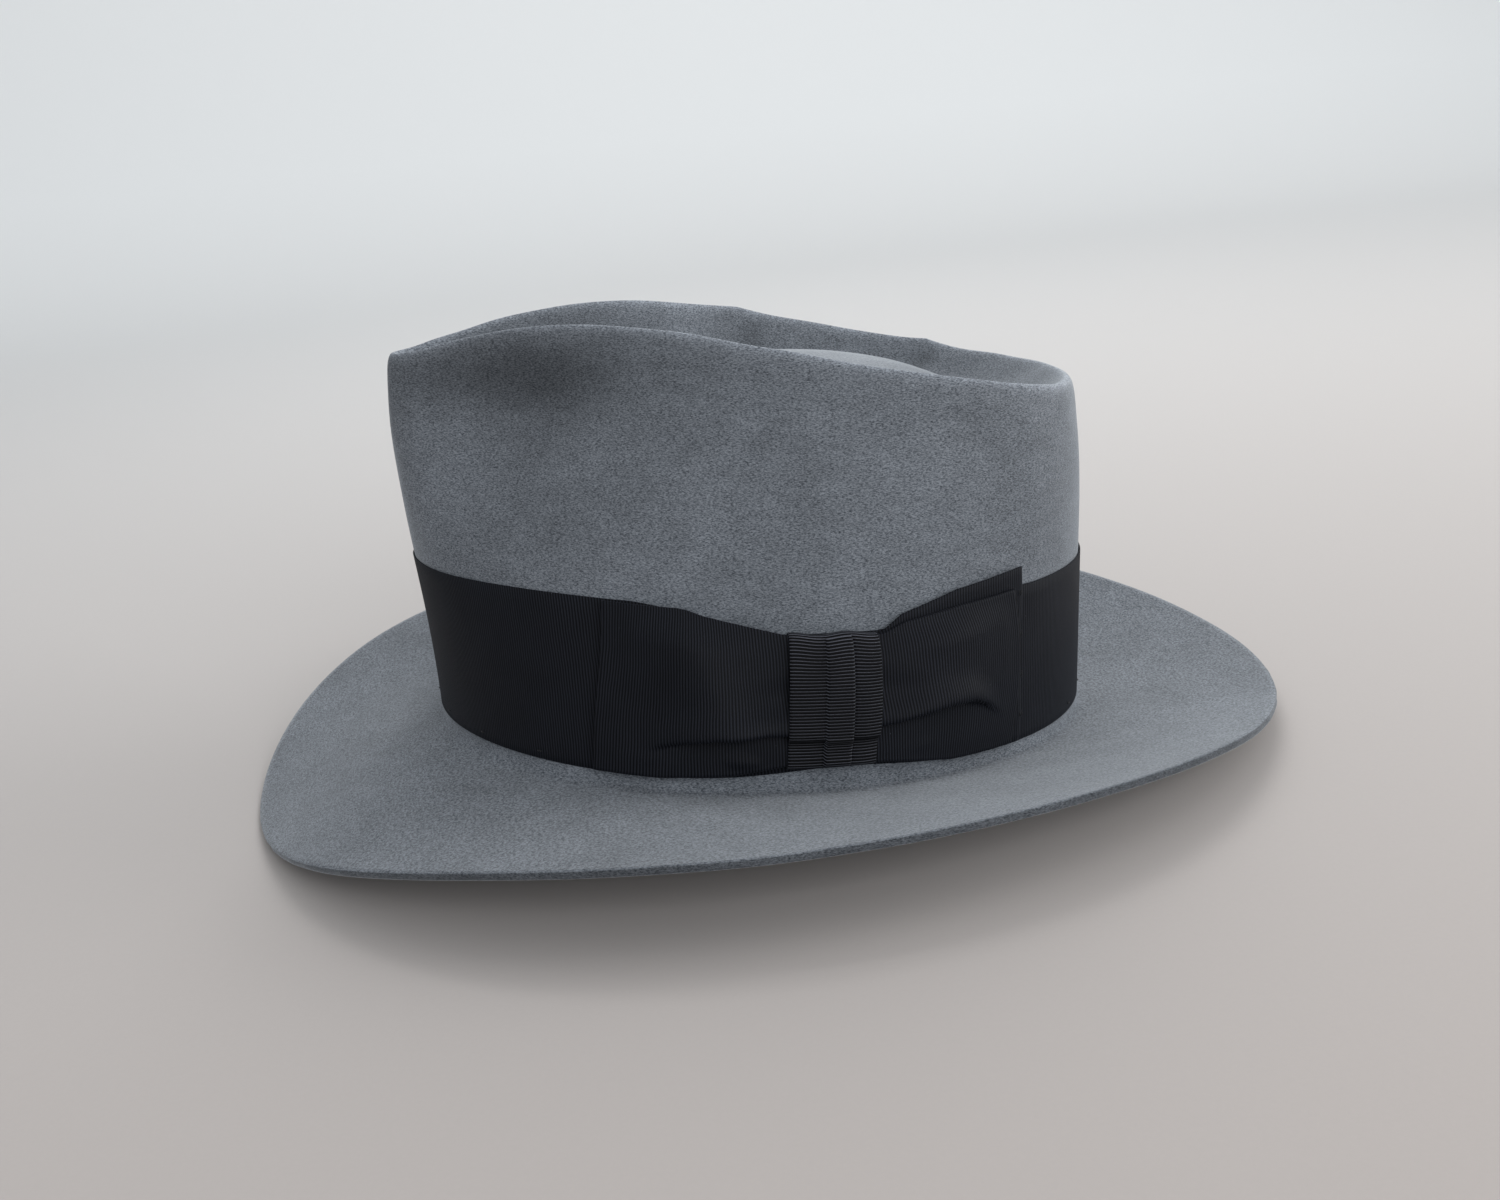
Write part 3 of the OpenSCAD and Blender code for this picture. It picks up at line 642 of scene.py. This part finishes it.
def make_reed_and_tape():
    reed = [ring_at(z, o) for z, o in ((-0.3, -3.05), (-0.15, -3.15), (2.55, -3.15), (2.7, -3.05),
                                       (2.7, -2.75), (2.55, -2.65), (-0.15, -2.65), (-0.3, -2.75))]
    tape = [ring_at(z, o) for z, o in (
        (-0.8, -2.9), (-0.65, -3.35), (-0.3, -3.55), (2, -3.55), (4.5, -3.52), (4.6, -3.42),
        (4.5, -3.32), (2, -3.3), (-0.1, -3.3), (-0.45, -3.2), (-0.5, -2.9), (-0.45, -2.6),
        (-0.1, -2.5), (2, -2.5), (4.5, -2.48), (4.6, -2.38), (4.5, -2.28), (2, -2.25),
        (-0.3, -2.25), (-0.65, -2.45))]
    ring_body("sweatband_reed_strip", np.stack(reed), slot="reed_plastic",
              stands_for=("sweatband_reed",))
    casing = ring_body("sweatband_reed_casing", np.stack(tape), slot="cotton_tape",
                       stands_for=("sweatband_reed_tape",))


def make_inner_threads():
    a = np.arange(0, 356, 5.0)
    off = FACE_OFF - THREAD / 2
    end_z = np.where(a % 10 == 0, 4.8, 3.2)
    thread_piece("sweatband_topstitches", on_wall(a, 3.2, off), on_wall(a + 2.2, end_z, off),
                 THREAD, -1, slot="tan_thread", stands_for=("sweatband_topstitch",))
    side, z = np.meshgrid((-1.6, 1.6), np.arange(14, 51, 4.0))
    thread_piece(
        "sweatband_joint_sewing", on_wall(JOINT_AT + side, z, off - 0.25).reshape(-1, 3),
        on_wall(JOINT_AT + side, z + 2.4, off - 0.25).reshape(-1, 3), THREAD, -1,
        slot="tan_thread", stands_for=("sweatband_joint_stitches",))
    a = np.arange(0, 346, 15.0)
    off = -2.65 - THREAD / 2 - 0.08
    thread_piece("lining_tacks", on_wall(a, 11, off), on_wall(a + 1.6, 11.1, off), THREAD, -1,
                 slot="dark_thread", stands_for=("lining_tack_stitches",))


def patch(a0, a1, z0, z1, off, cuts_a, cuts_z, wave=0.0):
    A, Z = np.meshgrid(np.linspace(a0, a1, cuts_a), np.linspace(z0, z1, cuts_z), indexing="ij")
    return on_wall(A, Z, off + wave * np.sin(Z * 0.9) * np.cos(A * 0.8))


def make_joint_tape_and_tag():
    backing = strip("sweatband_joint_backing",
                    patch(JOINT_AT - 4, JOINT_AT + 4, 13, 52, -3.32, 18, 30), 0.3,
                    slot="joint_leather", stands_for=("sweatband_joint_tape",))
    tag = strip("size_tag_blank", patch(118, 136, 16, 28, -3.2, 24, 10, 0.04), 0.2,
                slot="tag_stock", stands_for=("size_tag",))


def make_inner_bow():
    """Small flat bow of ribbon at the foot of the leather's joint: two loops and a tie."""
    t = np.linspace(-1, 1, 9)[None, :]
    b = np.linspace(0, 2 * math.pi, 48, endpoint=False)[:, None]
    reach = 7.5 + 6.5 * np.cos(b)
    open_at = np.pi / 2 * (reach - 1) / 13
    off = FACE_OFF - 0.85 - 0.75 * (1 - np.sin(b)) * np.sin(open_at + 0.3)
    Z = 8.5 + 2 * (1 + np.sin(open_at)) * t + 0.1 * np.sin(b * 3)
    for name, side in (("sweatband_bow_loop_1", 1), ("sweatband_bow_loop_2", -1)):
        grid = on_wall(JOINT_AT + side * reach * DEG_A_MM + 0 * t, Z, off + 0 * t)
        strip(name, grid, BOW_T, closed=True, flip=side > 0, slot="grosgrain",
              stands_for=("sweatband_bow_ribbon",))
    b = np.linspace(0, 2 * math.pi, 40, endpoint=False)[:, None]
    Z = 8.5 + 2.9 * np.cos(b) + 0 * t
    off = FACE_OFF - 1.5 - 1.05 * np.sin(b) + 0 * t
    strip("sweatband_bow_tie", on_wall(JOINT_AT + 1.1 * t + 0 * b, Z, off), BOW_T, closed=True,
          slot="grosgrain", stands_for=("sweatband_bow_ribbon",))


SIDE_OFF = -2.35
SEAM_ROW = 11.2
TIP_OFF = SIDE_OFF - SATIN_T - 0.45


def make_lining():
    n = 360
    a = np.arange(n) * 360 / n
    v = np.linspace(6.3, SEAM_ROW, 34)
    p, nor = surface(a, v)
    gather = 0.22 * np.sin(np.radians(a) * 47 + 0.8 * np.sin(np.radians(a) * 5))
    gather = gather[None, :] * smooth(v, 8.6, SEAM_ROW)[:, None]
    mid = p + nor * (SIDE_OFF - SATIN_T / 2 - 0.12 - np.abs(gather))[..., None]
    side = strip("lining_side_satin", mid.transpose(1, 0, 2), SATIN_T * 0.8, closed=True,
                 slot="satin", stands_for=("lining_side",))
    p, nor = surface(a, np.array([SEAM_ROW]))
    rim = (p + nor * TIP_OFF)[0]
    middle = np.array([0, DENT_Y, ISLAND_Z - 10])
    f = np.linspace(1, 0.02, 46)[:, None, None]
    pucker = 0.35 * np.sin(np.radians(a) * 40)[None, :, None] * smooth(f, 0.8, 1.0)
    grid = middle + (rim[None] - middle) * f
    grid = grid - np.array([0, 0, 1.0]) * (4 * np.sin(np.pi * f) + pucker + SATIN_T / 2)
    top = grid + np.array([0, 0, SATIN_T / 2])
    low = grid - np.array([0, 0, SATIN_T / 2])
    points, faces = cupped_shell(np.concatenate([top[::-1], low]), middle,
                                 middle - (0, 0, SATIN_T))
    tip = new_piece("lining_tip_satin", points, faces, points[:, :2], slot="satin",
                    stands_for=("lining_tip",))


def make_piping():
    n, k = 720, 14
    a = np.arange(n) * 360 / n
    p, nor = surface(a, np.array([SEAM_ROW]))
    core = (p + nor * (TIP_OFF - 0.9))[0] - (0, 0, 1.4)
    out = unit(core * (1, 1, 0))
    w = np.linspace(0, 2 * np.pi, k, endpoint=False)[:, None]
    twist = 1 + 0.14 * np.cos(2 * w + np.radians(a)[None, :] * 150)
    r = 0.5 * twist[..., None]
    rows = core[None] + r * (np.cos(w)[..., None] * out[None] - np.sin(w)[..., None] * (0, 0, 1))
    ring_body("lining_seam_piping", rows, slot="piping", stands_for=("lining_piping",))


# ---------------------------------------------------------------- materials
# Base colours, linear. The ribbon's grooves hold painted shade and its crests painted highlight,
# much stronger on the knot
FELT_DARK, FELT_LIGHT = (0.036, 0.042, 0.051), (0.232, 0.252, 0.279)
RIB_GROOVE_SHADED, RIB_CREST_LIT = (0.0010, 0.0012, 0.0020), (0.0150, 0.0168, 0.0228)
KNOT_GROOVE_SHADED, KNOT_CREST_LIT = (0.0005, 0.0005, 0.0008), (0.118, 0.124, 0.148)
RIB_PITCH = RIB * MM


class Shader:
    """A material's node tree, with short ways to add and join nodes."""

    def __init__(self, name, roughness, specular=0.5, sheen=0.0, sheen_roughness=0.5,
                 anisotropic=0.0, sheen_tint=(1, 1, 1)):
        self.material = bpy.data.materials.new(name)
        self.material.use_nodes = True
        self.tree = self.material.node_tree
        self.surface = self.tree.nodes["Principled BSDF"]
        self.set("Roughness", roughness)
        self.set("Specular IOR Level", specular)
        self.set("Sheen Weight", sheen)
        self.set("Sheen Roughness", sheen_roughness)
        self.set("Sheen Tint", (*sheen_tint, 1))
        self.set("Anisotropic", anisotropic)

    def set(self, socket, value):
        self.put(value, self.surface.inputs[socket])

    def put(self, value, socket):
        if isinstance(value, bpy.types.NodeSocket):
            self.tree.links.new(value, socket)
        else:
            socket.default_value = value

    def node(self, kind, **inputs):
        made = self.tree.nodes.new(kind)
        for name, value in inputs.items():
            self.put(value, made.inputs[name.replace("_", " ")])
        return made

    def place(self):
        return self.node("ShaderNodeTexCoord").outputs["Object"]

    def uv(self):
        return self.node("ShaderNodeTexCoord").outputs["UV"]

    def math(self, what, *values):
        made = self.tree.nodes.new("ShaderNodeMath")
        made.operation = what
        for value, socket in zip(values, made.inputs):
            self.put(value, socket)
        return made.outputs[0]

    def stretched(self, vector, scale):
        made = self.node("ShaderNodeMapping", Vector=vector)
        made.inputs["Scale"].default_value = scale
        return made.outputs[0]

    def noise(self, vector, size, detail=2.0, roughness=0.55):
        """Noise whose spots are about that many metres across."""
        return self.node("ShaderNodeTexNoise", Vector=vector, Scale=1 / size, Detail=detail,
                         Roughness=roughness).outputs["Fac"]

    def spread(self, value, low, high, to_low=0.0, to_high=1.0):
        made = self.node("ShaderNodeMapRange", Value=value, From_Min=low, From_Max=high,
                         To_Min=to_low, To_Max=to_high)
        return made.outputs[0]

    def blend(self, share, first, second):
        made = self.tree.nodes.new("ShaderNodeMix")
        made.data_type = "RGBA"
        for value, socket in zip((share, first, second),
                                 (made.inputs[0], made.inputs[6], made.inputs[7])):
            self.put((*value, 1) if isinstance(value, tuple) else value, socket)
        return made.outputs[2]

    def shade(self, colour, factor):
        """The colour times a grey factor."""
        made = self.node("ShaderNodeVectorMath")
        made.operation = "SCALE"
        self.put(colour, made.inputs[0])
        self.put(factor, made.inputs["Scale"])
        return made.outputs[0]

    def bump(self, height, depth, strength=1.0, under=None):
        made = self.node("ShaderNodeBump", Height=height, Distance=depth, Strength=strength)
        if under is not None:
            self.put(under, made.inputs["Normal"])
        return made.outputs[0]


def felt_material():
    m = Shader("fur_felt", 0.92, specular=0.12, sheen=0.45, sheen_roughness=0.38,
               sheen_tint=(0.90, 0.95, 1.0))
    at = m.place()
    fibres = m.stretched(at, (0.6, 0.6, 1.7))
    nap = m.noise(fibres, 0.48 * MM, 3, 0.7)
    fleck = m.noise(fibres, 0.36 * MM, 2, 0.6)
    brushed = m.noise(m.stretched(at, (0.5, 0.5, 1.4)), 5.5 * MM, 3)
    cloud = m.noise(at, 42 * MM, 2)
    share = m.math("ADD", m.spread(nap, 0.38, 0.60, 0, 0.65), m.spread(fleck, 0.38, 0.62, 0, 0.35))
    colour = m.blend(share, FELT_DARK, FELT_LIGHT)
    factor = m.math("ADD", m.spread(brushed, 0.35, 0.65, 0.93, 1.07),
                    m.spread(cloud, 0.35, 0.65, -0.09, 0.09))
    # painted shade: the cut edge at half brightness, and the pinch dents, the band under the front
    # ridge and the corner creases darker; painted highlight: the ridge up to 1.7 times lighter
    cut, painted_shade_and_highlight = m.node("ShaderNodeSeparateXYZ", Vector=m.uv()).outputs[:2]
    wear_and_painted_light = m.math("MULTIPLY", m.spread(cut, 0, 1, 1, 0.5), m.spread(painted_shade_and_highlight, 0, 1, 1, 0.46))
    wear_and_painted_light = m.math("MULTIPLY", wear_and_painted_light, m.spread(painted_shade_and_highlight, -1, 0, 1.7, 1))
    m.set("Base Color", m.shade(colour, m.math("MULTIPLY", factor, wear_and_painted_light)))
    soft = m.bump(m.noise(at, 2.2 * MM, 3), 0.10 * MM, 0.6)
    m.set("Normal", m.bump(nap, 0.16 * MM, 0.5, soft))
    return m.material


def grosgrain_material(name, groove, crest, drift, ribs, narrow):
    m = Shader(name, 0.62, specular=0.10, sheen=0.02, sheen_roughness=0.35,
               sheen_tint=(0.75, 0.82, 1.0))
    uv = m.uv()
    at = m.place()
    u = m.node("ShaderNodeSeparateXYZ", Vector=uv).outputs
    waver = m.spread(m.noise(at, 9 * MM, 1), 0.3, 0.7, -drift, drift)
    turns = m.math("ADD", m.math("DIVIDE", u[0], RIB_PITCH), waver)
    wave = m.math("COSINE", m.math("MULTIPLY", turns, 2 * math.pi))
    rib = m.math("POWER", m.spread(wave, -1, 1), narrow)
    ends = m.noise(m.stretched(uv, (0.5, 3, 1)), 0.5 * MM, 2, 0.6)
    cloud = m.noise(at, 15 * MM, 2)
    lint = m.spread(m.noise(at, 0.6 * MM, 1), 0.80, 0.84, 0, 1)
    factor = m.math("MULTIPLY", m.spread(ends, 0.3, 0.7, 0.75, 1.25),
                    m.spread(cloud, 0.3, 0.7, 0.9, 1.1))
    # painted shade in the rib grooves, painted highlight on the crests
    colour = m.shade(m.blend(rib, groove, crest), factor)
    m.set("Base Color", m.blend(lint, colour, (0.06, 0.065, 0.075)))
    m.set("Roughness", m.spread(ends, 0.3, 0.7, 0.55, 0.72))
    fine = m.bump(ends, 0.03 * MM, 0.7)
    m.set("Normal", m.bump(rib, 0.11 * MM, ribs, fine))
    return m.material


def thread_material(name, light, dark, sheen):
    """Two-ply sewing thread: slanted bands along the stitch."""
    m = Shader(name, 0.6, specular=0.15, sheen=sheen)
    u = m.node("ShaderNodeSeparateXYZ", Vector=m.uv()).outputs
    turns = m.math("ADD", m.math("DIVIDE", u[0], 0.45 * MM), m.math("DIVIDE", u[1], 0.63 * MM))
    ply = m.spread(m.math("SINE", m.math("MULTIPLY", turns, 2 * math.pi)), -1, 1)
    m.set("Base Color", m.blend(ply, dark, light))
    m.set("Normal", m.bump(ply, 0.04 * MM, 0.8))
    return m.material


def leather_material(name, base, wear_and_painted_light, grain, roughness):
    m = Shader(name, roughness, specular=0.4)
    at = m.place()
    cells = m.node("ShaderNodeTexVoronoi", Vector=at, Scale=1 / grain)
    cells.feature = "DISTANCE_TO_EDGE"
    pebble = m.spread(cells.outputs["Distance"], 0, 0.35)
    cloud = m.noise(at, 22 * MM, 3)
    pores = m.noise(at, 0.5 * MM, 2)
    colour = m.blend(m.spread(cloud, 0.3, 0.7), base, wear_and_painted_light)
    m.set("Base Color", m.shade(colour, m.spread(pebble, 0, 1, 0.72, 1.05)))
    m.set("Roughness", m.spread(pores, 0.3, 0.7, roughness - 0.08, roughness + 0.1))
    fine = m.bump(pores, 0.03 * MM, 0.5)
    m.set("Normal", m.bump(pebble, 0.12 * MM, 0.6, fine))
    return m.material


def woven_material(name, light, dark, pitch, roughness, specular, sheen, anisotropic=0.0):
    """A plain weave over the piece's own along-and-across lengths."""
    m = Shader(name, roughness, specular=specular, sheen=sheen, sheen_roughness=0.35,
               anisotropic=anisotropic)
    uv = m.uv()
    u = m.node("ShaderNodeSeparateXYZ", Vector=uv).outputs
    waves = [m.math("SINE", m.math("MULTIPLY", axis, 2 * math.pi / pitch)) for axis in u[:2]]
    weave = m.spread(m.math("MULTIPLY", *waves), -1, 1)
    slub = m.noise(m.stretched(uv, (0.15, 2.5, 1)), 0.6 * MM, 2)
    cloud = m.noise(m.place(), 18 * MM, 2)
    colour = m.blend(m.spread(slub, 0.3, 0.7), dark, light)
    factor = m.math("MULTIPLY", m.spread(weave, 0, 1, 0.88, 1.08),
                    m.spread(cloud, 0.3, 0.7, 0.94, 1.06))
    m.set("Base Color", m.shade(colour, factor))
    fine = m.bump(slub, 0.03 * MM, 0.5)
    m.set("Normal", m.bump(weave, 0.05 * MM, 0.6, fine))
    return m.material


def plastic_material():
    m = Shader("reed_plastic", 0.38, specular=0.45)
    at = m.place()
    scuff = m.noise(m.stretched(at, (1, 1, 9)), 2.5 * MM, 3)
    m.set("Base Color", m.blend(m.spread(scuff, 0.3, 0.7), (0.62, 0.59, 0.52), (0.74, 0.71, 0.65)))
    m.set("Roughness", m.spread(scuff, 0.3, 0.7, 0.32, 0.48))
    m.set("Normal", m.bump(scuff, 0.03 * MM, 0.5))
    return m.material


def paper_material():
    m = Shader("tag_paper", 0.8, specular=0.25)
    at = m.place()
    fibre = m.noise(m.stretched(at, (1, 1, 0.3)), 0.35 * MM, 3)
    stain = m.noise(at, 6 * MM, 2)
    colour = m.blend(m.spread(stain, 0.35, 0.7), (0.80, 0.78, 0.72), (0.70, 0.66, 0.57))
    m.set("Base Color", m.shade(colour, m.spread(fibre, 0.3, 0.7, 0.93, 1.04)))
    m.set("Normal", m.bump(fibre, 0.03 * MM, 0.5))
    return m.material


def make_materials():
    satin_light, satin_dark = (0.30, 0.34, 0.39), (0.24, 0.275, 0.32)
    tan, dark_tan = (0.46, 0.36, 0.25), (0.30, 0.22, 0.14)
    return {
        "felt": felt_material(),
        "grosgrain": grosgrain_material("grosgrain_ribbon", RIB_GROOVE_SHADED, RIB_CREST_LIT, 0.16, 0.6, 1.2),
        # the knot's copy of the ribbon, its crests far brighter than the band's: painted highlight
        "ribbed_grosgrain": grosgrain_material("grosgrain_knot", KNOT_GROOVE_SHADED, KNOT_CREST_LIT, 0, 0.2,
                                               2.2),
        "dark_thread": thread_material("dark_thread", (0.010, 0.011, 0.014), (0.004,) * 3, 0.1),
        "sweat_leather": leather_material("sweatband_leather", (0.105, 0.052, 0.026),
                                          (0.155, 0.082, 0.043), 0.9 * MM, 0.42),
        "reed_plastic": plastic_material(),
        "cotton_tape": woven_material("cotton_tape", (0.018,) * 3, (0.009,) * 3, 0.5 * MM,
                                      0.85, 0.2, 0.1),
        "tan_thread": thread_material("tan_thread", tan, dark_tan, 0.15),
        "joint_leather": leather_material("joint_leather", (0.055, 0.030, 0.018),
                                          (0.080, 0.045, 0.027), 0.6 * MM, 0.7),
        "satin": woven_material("lining_satin", satin_light, satin_dark, 0.28 * MM, 0.34, 0.5,
                                0.15, 0.4),
        "piping": woven_material("seam_piping", (0.15, 0.17, 0.2), (0.10, 0.115, 0.14),
                                 0.3 * MM, 0.5, 0.4, 0.15),
        "tag_stock": paper_material(),
    }


MATERIALS = make_materials()


# ---------------------------------------------------------------- studio
FLOOR_NEAR, FLOOR_FAR = 2.4, 1.25
COVE_R, WALL_H = 0.9, 2.6
FLOOR_TINT, WALL_TINT = (0.455, 0.415, 0.393), (0.86, 0.875, 0.875)


def resting_plane(points, at):
    """Height and slopes of the plane that the points stand on, with their weight over at."""
    slope, step, best = np.zeros(2), 0.1, -1e9
    while step > 1e-5:
        moved = False
        for d in ((1, 0), (-1, 0), (0, 1), (0, -1)):
            trial = slope + np.array(d) * step
            height = (points[:, 2] - (points[:, :2] - at) @ trial).min()
            if height > best + 1e-9:
                slope, best, moved = trial, height, True
        if not moved:
            step /= 2
    return best, slope


def make_floor(felt):
    co = np.empty(len(felt.data.vertices) * 3)
    felt.data.vertices.foreach_get("co", co)
    height, slope = resting_plane(co.reshape(-1, 3), np.array((0.0, -0.005)))
    up = Vector((-slope[0], -slope[1], 1)).normalized()
    across = Vector((0, 1, 0)).cross(up).normalized()
    along_y = up.cross(across)
    profile = [(x, 0.0) for x in np.linspace(FLOOR_NEAR, -FLOOR_FAR, 12)]
    profile += [(-FLOOR_FAR - COVE_R * math.sin(t), COVE_R * (1 - math.cos(t)))
                for t in np.linspace(0, math.pi / 2, 25)[1:]]
    profile += [(-FLOOR_FAR - COVE_R, COVE_R + h) for h in np.linspace(0, WALL_H, 8)[1:]]
    sides = np.linspace(-3.2, 3.2, 24)
    origin = Vector((0, -0.005, height))
    points = [origin + across * x + along_y * y + up * z for x, z in profile for y in sides]
    mesh = bpy.data.meshes.new("studio_floor")
    faces = grid_faces(len(profile), len(sides), False, False)
    mesh.from_pydata(points, [], [f[::-1] for f in faces])
    for poly in mesh.polygons:
        poly.use_smooth = True
    floor = bpy.data.objects.new("studio_floor", mesh)
    bpy.context.scene.collection.objects.link(floor)
    m = Shader("studio_paper", 0.95, specular=0.1)
    at = m.place()
    depth = m.node("ShaderNodeSeparateXYZ", Vector=at).outputs[0]
    far = m.spread(depth, 0.35, -1.7)
    fine = m.noise(at, 1.2 * MM, 3)
    colour = m.blend(far, FLOOR_TINT, WALL_TINT)
    m.set("Base Color", m.shade(colour, m.spread(fine, 0.3, 0.7, 0.992, 1.008)))
    m.set("Normal", m.bump(fine, 0.05 * MM, 0.3))
    mesh.materials.append(m.material)


def area_light(name, at, size, power, colour, spread=180, aim=(0, 0, 0.06)):
    data = bpy.data.lights.new(name, "AREA")
    data.shape, data.size, data.size_y = "RECTANGLE", *size
    data.energy, data.color = power, colour
    data.spread = math.radians(spread)
    lamp = bpy.data.objects.new(name, data)
    lamp.location = at
    lamp.rotation_euler = (Vector(aim) - Vector(at)).to_track_quat("-Z", "Y").to_euler()
    bpy.context.scene.collection.objects.link(lamp)


def make_lights():
    area_light("side_low", (0.15, 1.6, 0.55), (1.0, 0.8), 10.5, (1.0, 0.99, 0.975))
    area_light("side_high", (0.1, 1.1, 1.3), (1.1, 1.0), 3.5, (1.0, 0.99, 0.98))
    area_light("back", (-1.15, 0.2, 1.35), (1.0, 1.0), 2.2, (1.0, 1.0, 1.0), spread=75)
    area_light("front", (1.7, 0.3, 0.7), (1.2, 1.0), 15.5, (0.97, 0.985, 1.0))
    area_light("wall_wash", (-0.9, 0, 2.2), (3.0, 0.6), 13.8, (0.98, 0.99, 1.0),
               aim=(-2.1, 0, 0.9))
    world = bpy.data.worlds.new("studio")
    world.use_nodes = True
    world.node_tree.nodes["Background"].inputs["Color"].default_value = (0.93, 0.96, 1.0, 1)
    world.node_tree.nodes["Background"].inputs["Strength"].default_value = 0.47
    bpy.context.scene.world = world
    bpy.context.scene.view_settings.view_transform = "Standard"


felt_hat = make_felt()
make_hatband()
make_bow()
make_outer_threads()
make_sweatband()
make_reed_and_tape()
make_inner_threads()
make_joint_tape_and_tag()
make_inner_bow()
make_lining()
make_piping()
make_floor(felt_hat)
make_lights()
